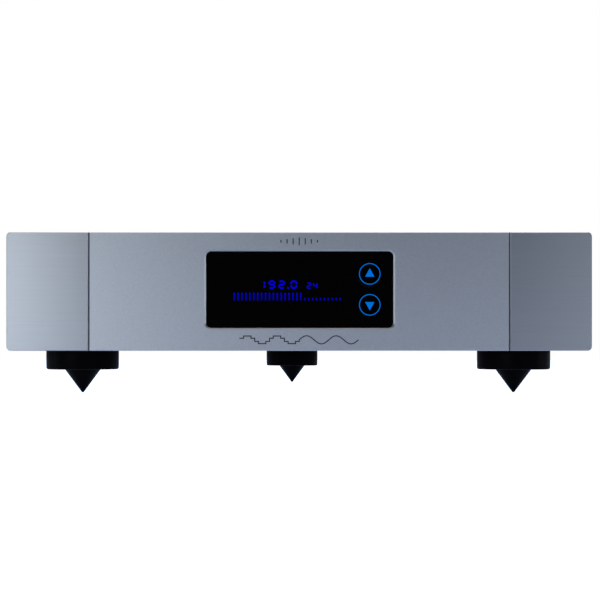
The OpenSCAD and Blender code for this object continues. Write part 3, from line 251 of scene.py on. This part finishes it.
def turned_black(name, colour, roughness, gloss):
    """Black finish over turned metal: rings about the object's own vertical axis."""
    s = Surface(name, colour, roughness=roughness, Specular_IOR_Level=gloss)
    x, y, z = s.axes()
    radius = s.math("SQRT", s.math("ADD", s.math("MULTIPLY", x, x), s.math("MULTIPLY", y, y)))
    along = s.math("ADD", radius, z)
    rings = s.node("ShaderNodeTexNoise", Scale=1.0, Detail=2.0)
    joined = s.node("ShaderNodeCombineXYZ")
    s.link(s.math("MULTIPLY", along, 3200.0), joined.inputs["X"])
    s.link(joined.outputs["Vector"], rings.inputs["Vector"])
    dust = s.noise(s.place((1, 1, 1)), scale=220, detail=4.0)
    s.tint(s.fit(dust, 0.35, 0.75, 0, 1), colour, scaled(colour, 1.7))
    s.rough(rings.outputs["Fac"], roughness - 0.05, roughness + 0.10)
    s.bump(rings.outputs["Fac"], 0.00002, 0.35)
    return s.material


def dark_glass(name, colour, gloss, cover=1.0):
    """Polished dark sheet with the faint waviness of acrylic; cover is how much it hides."""
    s = Surface(name, colour, roughness=0.04, Specular_IOR_Level=gloss)
    s.shader.inputs["Alpha"].default_value = cover
    wave = s.noise(s.place((1, 1, 1)), scale=25, detail=1.0)
    s.rough(wave, 0.03, 0.06)
    s.bump(wave, 0.00002, 0.15)
    return s.material


def lit(name, colour, glow, strength, mottle, dimmer_below=None):
    """Light guide or display pixels: a glowing colour with a slightly uneven level."""
    s = Surface(name, colour, roughness=0.4, Specular_IOR_Level=0.0)
    level = s.noise(s.place((1, 1, 1)), scale=mottle, detail=1.0)
    n = s.tree.nodes.new("ShaderNodeMix")
    n.data_type = "RGBA"
    s.link(s.fit(level, 0.3, 0.7, 0, 1), n.inputs["Factor"])
    a, b = [k for k in n.inputs if k.type == "RGBA"]
    a.default_value = (*scaled(glow, 0.88), 1.0)
    b.default_value = (*glow, 1.0)
    s.link([k for k in n.outputs if k.type == "RGBA"][0], s.shader.inputs["Emission Color"])
    s.shader.inputs["Emission Strength"].default_value = strength
    if dimmer_below is not None:
        x, y, z = s.axes()
        upper = s.math("GREATER_THAN", z, dimmer_below)
        s.link(s.fit(upper, 0, 1, 0.58 * strength, strength), s.shader.inputs["Emission Strength"])
    return s.material


def circuit(name):
    """Solder mask over copper tracks and rows of plated pads."""
    mask, copper = (0.012, 0.055, 0.030), (0.030, 0.115, 0.055)
    s = Surface(name, mask, roughness=0.35, Specular_IOR_Level=0.5)
    brick = s.node("ShaderNodeTexBrick", Scale=1.0, Mortar_Size=0.10, Brick_Width=1.0, Row_Height=0.35)
    s.link(s.place((140, 140, 140)), brick.inputs["Vector"])
    dots = s.tree.nodes.new("ShaderNodeTexVoronoi")
    dots.inputs["Scale"].default_value = 320
    dots.inputs["Randomness"].default_value = 0.25
    s.link(s.place((1, 1, 1)), dots.inputs["Vector"])
    pad = s.math("LESS_THAN", dots.outputs["Distance"], 0.18)
    base = s.tint(brick.outputs["Fac"], mask, copper)
    s.tint(pad, base, (0.45, 0.43, 0.36))
    s.bump(brick.outputs["Fac"], 0.00004, 0.5)
    return s.material


def rubbery(name, colour, roughness=0.65):
    s = Surface(name, colour, roughness=roughness, Specular_IOR_Level=0.3)
    g = s.noise(s.place((1, 1, 1)), scale=700, detail=4.0)
    s.tint(s.fit(g, 0.3, 0.7, 0, 1), scaled(colour, 0.85), scaled(colour, 1.25))
    s.rough(g, roughness - 0.08, roughness + 0.08)
    s.bump(g, 0.00005, 0.5)
    return s.material


def split(surface, mask, first, second, metal=None):
    """Two colours, and if asked two levels of metal, on either side of a mask."""
    surface.tint(mask, first, second)
    if metal:
        surface.link(surface.fit(mask, 0, 1, *metal), surface.shader.inputs["Metallic"])
    return surface.material


def sleeve(name, colour):
    """Capacitor can in a printed sleeve, with a bare metal top."""
    s = Surface(name, colour, roughness=0.28)
    x, y, z = s.axes()
    lo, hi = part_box("power_capacitors")
    grain = s.noise(s.place((1, 1, 1)), scale=300, detail=3.0)
    base = s.tint(grain, scaled(colour, 0.8), scaled(colour, 1.3))
    s.bump(grain, 0.00001, 0.5)
    return split(s, s.math("GREATER_THAN", z, hi.z - 0.2 * MM), base, (0.62, 0.62, 0.61), (0.0, 0.9))


def glass_fuse(name):
    """Nickel caps on both ends of a pale glass tube."""
    s = Surface(name, (0.6, 0.6, 0.6), roughness=0.18, Coat_Weight=0.5)
    x, y, z = s.axes()
    lo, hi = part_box("fuse")
    from_middle = s.math("ABSOLUTE", s.math("SUBTRACT", y, (lo.y + hi.y) / 2))
    tube = s.tint(s.noise(s.place((1, 1, 1)), scale=200), (0.52, 0.58, 0.56), (0.62, 0.68, 0.66))
    caps = s.math("GREATER_THAN", from_middle, (hi.y - lo.y) / 2 - 5.2 * MM)
    return split(s, caps, tube, (0.62, 0.60, 0.57), (0.0, 1.0))


def winding(name):
    """Enamelled copper wire under clear tape."""
    copper = (0.42, 0.13, 0.03)
    s = Surface(name, copper, metallic=0.65, roughness=0.32, Coat_Weight=0.4)
    g = s.noise(s.place((1, 1, 1)), scale=260, detail=4.0)
    s.tint(s.fit(g, 0.3, 0.7, 0, 1), scaled(copper, 0.7), scaled(copper, 1.35))
    s.rough(g, 0.26, 0.42)
    s.bump(g, 0.00008, 0.4)
    return s.material


readout_lo, readout_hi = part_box("display_readout")
readout_split = readout_lo.z + 0.3 * (readout_hi.z - readout_lo.z)
MATERIALS = {
    "brushed_plate": brushed_aluminium("brushed_plate", (0.355, 0.375, 0.405)),
    "blasted_plate": blasted_aluminium("blasted_plate", SILVER, (0.05, 0.055, 0.065)),
    "case_paint": powder_coat("case_paint", (0.020, 0.0205, 0.0225)),
    "window_glass": dark_glass("window_glass", (0.0005, 0.0005, 0.0007), 0.5, cover=0.5),
    "display_black": dark_glass("display_black", (0.0001, 0.0001, 0.0001), 0.2),
    "lit_readout": lit("lit_readout", (0.0, 0.0, 0.02), (0.0, 0.0, 1.0), 3.2, 900, readout_split),
    "lit_icon": lit("lit_icon", (0.0, 0.01, 0.04), (0.0, 0.17, 0.74), 0.93, 500),
    "circuit_board": circuit("circuit_board"),
    "chip_black": moulded("chip_black", (0.015, 0.015, 0.016), 0.5, 1500),
    "zinc_screw": plated("zinc_screw", (0.55, 0.55, 0.54), 0.30),
    "black_screw": plated("black_screw", (0.035, 0.035, 0.037), 0.38),
    "black_anodised": turned_black("black_anodised", (0.0006, 0.0006, 0.0009), 0.40, 0.02),
    "spike_black": turned_black("spike_black", (0.0005, 0.0005, 0.0008), 0.34, 0.02),
    "insert_brass": plated("insert_brass", (0.72, 0.48, 0.18), 0.28),
    "connector_black": moulded("connector_black", (0.016, 0.016, 0.017)),
    "rocker_black": moulded("rocker_black", (0.012, 0.012, 0.013), 0.28, 400, 0.00001),
    "plated_contact": plated("plated_contact", (0.66, 0.66, 0.63), 0.22),
    "fuse_glass": glass_fuse("fuse_glass"),
    "gold_plate": plated("gold_plate", (0.83, 0.56, 0.20), 0.18),
    "white_insulator": moulded("white_insulator", (0.72, 0.72, 0.69), 0.38, 600, 0.00002),
    "nickel_plate": plated("nickel_plate", (0.50, 0.49, 0.47), 0.26),
    "latch_metal": plated("latch_metal", (0.46, 0.46, 0.45), 0.34),
    "shutter_grey": moulded("shutter_grey", (0.045, 0.045, 0.048)),
    "varnished_winding": winding("varnished_winding"),
    "rubber_pad": rubbery("rubber_pad", (0.015, 0.015, 0.015)),
    "clamp_steel": plated("clamp_steel", (0.52, 0.52, 0.50), 0.32),
    "capacitor_sleeve": sleeve("capacitor_sleeve", (0.008, 0.012, 0.045)),
    "heatsink_black": moulded("heatsink_black", (0.014, 0.014, 0.015), 0.42, 1600),
    "standoff_brass": plated("standoff_brass", (0.68, 0.47, 0.20), 0.30),
    "cable_grey": rubbery("cable_grey", (0.045, 0.045, 0.05)),
    "lead_red": rubbery("lead_red", (0.32, 0.016, 0.012), 0.45),
    "ribbon_grey": rubbery("ribbon_grey", (0.28, 0.29, 0.32), 0.5),
}
node_slot = {p["node"]: p["material_slot"] for p in frame["record"]["subparts"]}
for name, obj in nodes.items():
    obj.data.materials.clear()
    obj.data.materials.append(MATERIALS[node_slot[name]])
    obj.data.shade_smooth()
    obj.data.set_sharp_from_angle(angle=math.radians(32))


# ---------------------------------------------------------------- shapes

def piece(name, mesh_data, slot, body, stands_for=(), at=(0, 0, 0), sharp=35):
    """Makes an object from (vertices, faces), gives it its slot's material and rides it on a body."""
    mesh = bpy.data.meshes.new(name)
    mesh.from_pydata(mesh_data[0], [], mesh_data[1])
    mesh.validate()
    b = bmesh.new()
    b.from_mesh(mesh)
    bmesh.ops.remove_doubles(b, verts=b.verts, dist=1e-7)
    bmesh.ops.recalc_face_normals(b, faces=b.faces)
    b.to_mesh(mesh)
    b.free()
    mesh.shade_smooth()
    mesh.set_sharp_from_angle(angle=math.radians(sharp))
    obj = bpy.data.objects.new(name, mesh)
    obj.location = at
    scene.collection.objects.link(obj)
    mesh.materials.append(MATERIALS[slot])
    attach(obj, body)
    if stands_for:
        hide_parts(*stands_for)
    return obj


def lathe(profile, sides=128, closed=False):
    """Turns (radius, height) points about Z. A closed profile makes a ring; an open one ends on the axis."""
    verts, faces = [], []
    n = len(profile)
    for k in range(sides):
        a = 2 * math.pi * k / sides
        verts += [(r * math.cos(a), r * math.sin(a), h) for r, h in profile]
    last = n if closed else n - 1
    for k in range(sides):
        for i in range(last):
            j = (i + 1) % n
            p, q = k * n, (k + 1) % sides * n
            faces.append((p + i, q + i, q + j, p + j))
    return verts, faces


def arc(cx, cz, r, start, end, steps=6):
    """Points on an arc, with angles in degrees."""
    return [(cx + r * math.cos(math.radians(start + (end - start) * i / steps)),
             cz + r * math.sin(math.radians(start + (end - start) * i / steps))) for i in range(steps + 1)]


def centre_of(node):
    lo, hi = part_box(node)
    return (lo + hi) / 2


# Feet: turned discs and spikes with small rounded edges.
for place in ("front_left", "front_right", "rear"):
    lo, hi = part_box("foot_disc_" + place)
    c = centre_of("foot_disc_" + place)
    r, t = (hi.x - lo.x) / 2, hi.z - lo.z
    bore = 5.52 * MM
    rim, top = 1.6 * MM, 0.5 * MM
    ring_r, ring_d = bore + 6 * MM, 0.25 * MM         # shallow ring turned into the underside
    lower = [(ring_r, 0), (ring_r + 0.3 * MM, ring_d), (ring_r + 0.8 * MM, ring_d), (ring_r + 1.1 * MM, 0)]
    profile = ([(bore, 0)] + lower + arc(r - rim, rim, rim, -90, 0, 8)
               + arc(r - top, t - top, top, 0, 90, 4) + [(bore, t)])
    piece("turned_disc_" + place, lathe(profile, 160, closed=True), "black_anodised", "chassis",
          ["foot_disc_" + place], at=(c.x, c.y, lo.z))

    lo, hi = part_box("spike_" + place)
    r = (hi.x - lo.x) / 2
    tip, base, rim = 0.65 * MM, 17.5 * MM, 0.5 * MM
    slope = (r - tip) / (base - rim)
    cone = [(0, 0), (tip - 0.12 * MM, 0), (tip, 0.12 * MM)]
    cone += [(tip + slope * h * MM, h * MM) for h in (0.6, 2, 4, 7, 10, 13, 16)]
    cone += [(r - 0.15 * MM, base - rim - 0.1 * MM), (r, base - rim + 0.1 * MM), (r, base - 0.1 * MM),
             (r - 0.1 * MM, base), (4 * MM, base)]
    pitch, depth = 1.25 * MM, 0.35 * MM
    z = base + 0.2 * MM
    while z + pitch < hi.z - 1.2 * MM:
        cone += [(4 * MM, z), (4 * MM - depth, z + pitch / 2)]
        z += pitch
    cone += [(4 * MM, hi.z - 1.2 * MM), (3 * MM, hi.z), (0, hi.z)]
    piece("turned_spike_" + place, lathe(cone, 128), "spike_black", place + "_spike", ["spike_" + place],
          at=(c.x, c.y, 0), sharp=40)


def ring_points(cx, cz, r, count):
    return [(cx + r * math.cos(2 * math.pi * i / count), cz + r * math.sin(2 * math.pi * i / count))
            for i in range(count)]


def rounded_rectangle(lo, hi, r, steps=8):
    """Corners of a rounded rectangle in (x, z)."""
    corners = ((hi[0] - r, hi[1] - r, 0), (lo[0] + r, hi[1] - r, 90),
               (lo[0] + r, lo[1] + r, 180), (hi[0] - r, lo[1] + r, 270))
    return [p for cx, cz, start in corners for p in arc(cx, cz, r, start, start + 90, steps)]


def plate_with_holes(outline, holes, y0, y1):
    """A flat sheet between y0 and y1 with the given outline and openings in (x, z)."""
    b = bmesh.new()
    for loop in [outline] + holes:
        verts = [b.verts.new((x, y0, z)) for x, z in loop]
        for i, v in enumerate(verts):
            b.edges.new((v, verts[(i + 1) % len(verts)]))
    bmesh.ops.triangle_fill(b, edges=b.edges[:], use_beauty=True, normal=(0, -1, 0))
    out = bmesh.ops.extrude_face_region(b, geom=b.faces[:])
    moved = [v for v in out["geom"] if isinstance(v, bmesh.types.BMVert)]
    bmesh.ops.translate(b, verts=moved, vec=(0, y1 - y0, 0))
    verts = [tuple(v.co) for v in b.verts]
    b.verts.index_update()
    faces = [tuple(v.index for v in f.verts) for f in b.faces]
    b.free()
    return verts, faces


# Black print on the back of the window, open in front of the display and round the keys.
window_lo, window_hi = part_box("display_window")
module_lo, module_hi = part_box("display_module")
print_y = window_hi.y + 0.010 * MM
PRINT_T, DISPLAY_RIM, SHEET_RIM, KEY_OPENING_R = 0.025 * MM, 4 * MM, 0.5 * MM, 9.8 * MM


def inset_rectangle(lo, hi, rim, r):
    """The (x, z) outline of a box, drawn in by a rim, with corner radius r."""
    return rounded_rectangle((lo.x + rim, lo.z + rim), (hi.x - rim, hi.z - rim), r)


openings = [inset_rectangle(module_lo, module_hi, DISPLAY_RIM, 1 * MM)]
for key in ("up_key_cap", "down_key_cap"):
    c = centre_of(key)
    openings.append(ring_points(c.x, c.z, KEY_OPENING_R, 64))
sheet = inset_rectangle(window_lo, window_hi, SHEET_RIM, 5 * MM)
mask = plate_with_holes(sheet, openings, print_y, print_y + PRINT_T)
piece("window_mask", mask, "display_black", "chassis")


# Phono sockets: hexagonal flange, threaded barrel and nut behind the panel, turned about +Y.
def facing_back(mesh_data):
    return [(x, z, -y) for x, y, z in mesh_data[0]], mesh_data[1]


def joined(*meshes):
    verts, faces = [], []
    for v, f in meshes:
        faces += [tuple(i + len(verts) for i in face) for face in f]
        verts += v
    return verts, faces


def hexagon_ring(inner, outer, h0, h1, chamfer):
    """Nut with chamfered corners between heights h0 and h1."""
    return lathe([(inner, h0), (outer - chamfer, h0), (outer, h0 + chamfer), (outer, h1 - chamfer),
                  (outer - chamfer, h1), (inner, h1)], 6, closed=True)


panel_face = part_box("rear_panel")[1].y
BORE, BARREL, PITCH, THREAD = 3.35 * MM, 4.15 * MM, 0.8 * MM, 0.3 * MM
INSIDE = BARREL - 0.4 * MM              # rings on the barrel reach this far into its wall
for name in ("phono_left_shell", "phono_right_shell", "phono_coax_shell"):
    lo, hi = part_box(name)
    c = centre_of(name)
    bottom, top = lo.y - panel_face, hi.y - panel_face
    outer = [(BARREL, bottom)]
    h = 3.4 * MM
    outer.append((BARREL, h))
    while h + PITCH < top - 0.6 * MM:
        outer += [(BARREL - THREAD, h + PITCH / 2), (BARREL, h + PITCH)]
        h += PITCH
    outer += [(BARREL, top - 0.5 * MM), (BARREL - 0.5 * MM, top)]
    barrel = lathe([(BORE, bottom)] + outer + [(BORE, top)], 96, closed=True)
    flange = hexagon_ring(INSIDE, 7 * MM, 0, 2.4 * MM, 0.25 * MM)
    collar = lathe([(INSIDE, 2.3 * MM), (5 * MM, 2.3 * MM), (5 * MM, 3.1 * MM),
                    (4.9 * MM, 3.2 * MM), (INSIDE, 3.2 * MM)], 64, closed=True)
    nut = hexagon_ring(INSIDE, 6.6 * MM, -5.5 * MM, -2.5 * MM, 0.25 * MM)
    shapes = facing_back(joined(barrel, flange, collar, nut))
    piece("threaded_" + name, shapes, "gold_plate", "chassis", [name], at=(c.x, panel_face, c.z), sharp=25)


# Printed frames round the outputs and the digital inputs.
def printed_frame(name, first, last, margin=5 * MM, half_height=19.5 * MM, line=0.45 * MM, r=4 * MM):
    """A thin printed outline from one socket to another."""
    a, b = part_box(first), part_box(last)
    z = centre_of(first).z
    lo = (min(a[0].x, b[0].x) - margin, z - half_height)
    hi = (max(a[1].x, b[1].x) + margin, z + half_height)
    hole = rounded_rectangle((lo[0] + line, lo[1] + line), (hi[0] - line, hi[1] - line), r - line)
    outline = rounded_rectangle(lo, hi, r)
    print_back, print_front = panel_face + 0.004 * MM, panel_face + 0.03 * MM
    piece(name, plate_with_holes(outline, [hole], print_back, print_front), "white_insulator", "chassis")


printed_frame("output_frame", "xlr_left_shell", "xlr_right_shell")
printed_frame("input_frame", "xlr_input_shell", "usb_socket")


# ---------------------------------------------------------------- floor, light and camera

def as_seen(tree, seen, lighting):
    """One level where the camera looks straight at a surround, another where it lights the object."""
    ray = tree.nodes.new("ShaderNodeLightPath")
    level = tree.nodes.new("ShaderNodeMapRange")
    level.inputs["To Min"].default_value = lighting
    level.inputs["To Max"].default_value = seen
    tree.links.new(ray.outputs["Is Camera Ray"], level.inputs["Value"])
    return level.outputs["Result"]


def floor(seen, lighting):
    size = 6.0
    mesh = bpy.data.meshes.new("floor")
    corners = [(-size, -size, 0), (size, -size, 0), (size, size, 0), (-size, size, 0)]
    mesh.from_pydata(corners, [], [(0, 1, 2, 3)])
    obj = bpy.data.objects.new("floor", mesh)
    scene.collection.objects.link(obj)
    s = Surface("floor", (0.30, 0.30, 0.31), roughness=0.9, Specular_IOR_Level=0.0)
    cloud = s.noise(s.place((1, 1, 1)), scale=0.7, detail=2.0)
    s.tint(cloud, (0.29, 0.29, 0.30), (0.31, 0.31, 0.32))
    s.shader.inputs["Emission Color"].default_value = (0.648, 0.75, 1.0, 1)
    s.link(as_seen(s.tree, seen, lighting), s.shader.inputs["Emission Strength"])
    mesh.materials.append(s.material)


def softbox(name, at, towards, width, height, power, colour=(1, 1, 1)):
    light = bpy.data.lights.new(name, "AREA")
    light.shape = "RECTANGLE"
    light.size, light.size_y = width, height
    light.energy = power
    light.color = colour
    obj = bpy.data.objects.new(name, light)
    scene.collection.objects.link(obj)
    obj.location = at
    obj.rotation_euler = (Vector(towards) - Vector(at)).to_track_quat("-Z", "Y").to_euler()
    obj.visible_camera = False
    return obj


def world(seen, lighting):
    """Pale surroundings."""
    w = bpy.data.worlds.new("studio")
    scene.world = w
    w.use_nodes = True
    tree = w.node_tree
    back = tree.nodes["Background"]
    tree.links.new(as_seen(tree, seen, lighting), back.inputs["Strength"])
    back.inputs["Color"].default_value = (1, 1, 1, 1)


floor(1.6, 0.84)
world(1.0, 0.025)
softbox("key_left", (-1.043, -1.907, 0.24), (-0.1, -0.2, 0.1), 0.95, 0.46, 6.85, (0.94, 0.985, 1.0))
softbox("fill_right", (1.06, -1.9, 0.24), (0.1, -0.2, 0.1), 0.7, 0.46, 1.2, (0.90, 0.96, 1.0))
softbox("side_left", (-1.6, -0.37, 0.25), (0, -0.2, 0.07), 0.4, 0.5, 2.3, (0.95, 0.99, 1.0))
softbox("side_right", (1.6, -0.36, 0.25), (0, -0.2, 0.07), 0.4, 0.5, 2.4, (0.95, 0.99, 1.0))
softbox("top", (0, 0.35, 2.2), (0, 0.1, 0), 2.4, 2.0, 28)
softbox("back_left", (-1.4, 1.9, 1.0), (0, 0.1, 0.07), 1.4, 1.2, 22)
softbox("back_right", (1.7, 1.7, 0.8), (0, 0.1, 0.07), 1.0, 1.2, 14)

FOCAL_PX, IMAGE_PX, SENSOR = 972.0, 600.0, 36.0
camera_data = bpy.data.cameras.new("camera")
camera_data.sensor_width = SENSOR
camera_data.lens = SENSOR * FOCAL_PX / IMAGE_PX
camera_data.shift_x = 23.0 / IMAGE_PX
camera_data.shift_y = 56.1 / IMAGE_PX
camera = bpy.data.objects.new("camera", camera_data)
scene.collection.objects.link(camera)
camera.location = (-16.1 * MM, cad_box[0].y - 0.705, 27.6 * MM)
camera.rotation_euler = (math.radians(90), 0, 0)
scene.camera = camera
